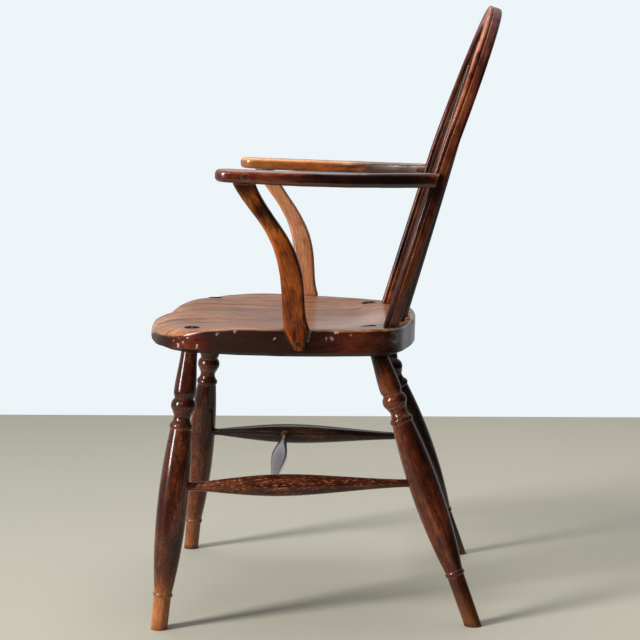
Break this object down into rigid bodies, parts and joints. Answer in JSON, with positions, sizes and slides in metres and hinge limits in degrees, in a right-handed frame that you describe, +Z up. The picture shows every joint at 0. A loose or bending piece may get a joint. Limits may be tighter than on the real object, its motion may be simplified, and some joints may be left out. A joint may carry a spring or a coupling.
{
  "type": "windsor armchair",
  "caption": "Wooden stick-back armchair with a saddled plank seat, a bent bow, crooked arm supports, turned splayed legs and stretchers joined as an H.",
  "frame": {"origin": "on the floor, under the middle of the chair's overall box", "axes": "+Z up, the chair faces -Y, +X is the sitter's left"},
  "size_m": [0.576, 0.5297, 0.897],
  "materials": {
    "seat": "polished elm",
    "legs": "polished dark stained beech",
    "stretchers": "polished dark stained beech",
    "bow": "polished bent ash or yew",
    "sticks": "polished shaved ash",
    "arms": "polished fruitwood",
    "supports": "polished fruitwood",
    "wedges": "end grain, worn",
    "pegs": "end grain, worn",
    "nails": "dark, worn"
  },
  "bodies": {
    "root": {"seat": "seat", "cross_stretcher": "stretchers", "bow": "bow", "back_stick_1": "sticks", "back_stick_2": "sticks", "back_stick_3": "sticks", "back_stick_4": "sticks", "back_stick_5": "sticks", "back_stick_6": "sticks", "back_stick_7": "sticks", "left_front_leg": "legs", "left_back_leg": "legs", "left_front_leg_wedge": "wedges", "left_back_leg_wedge": "wedges", "left_side_stretcher": "stretchers", "left_arm": "arms", "left_arm_support": "supports", "left_arm_peg": "pegs", "left_support_nail": "nails", "right_front_leg": "legs", "right_back_leg": "legs", "right_front_leg_wedge": "wedges", "right_back_leg_wedge": "wedges", "right_side_stretcher": "stretchers", "right_arm": "arms", "right_arm_support": "supports", "right_arm_peg": "pegs", "right_support_nail": "nails"}
  },
  "joints": []
}
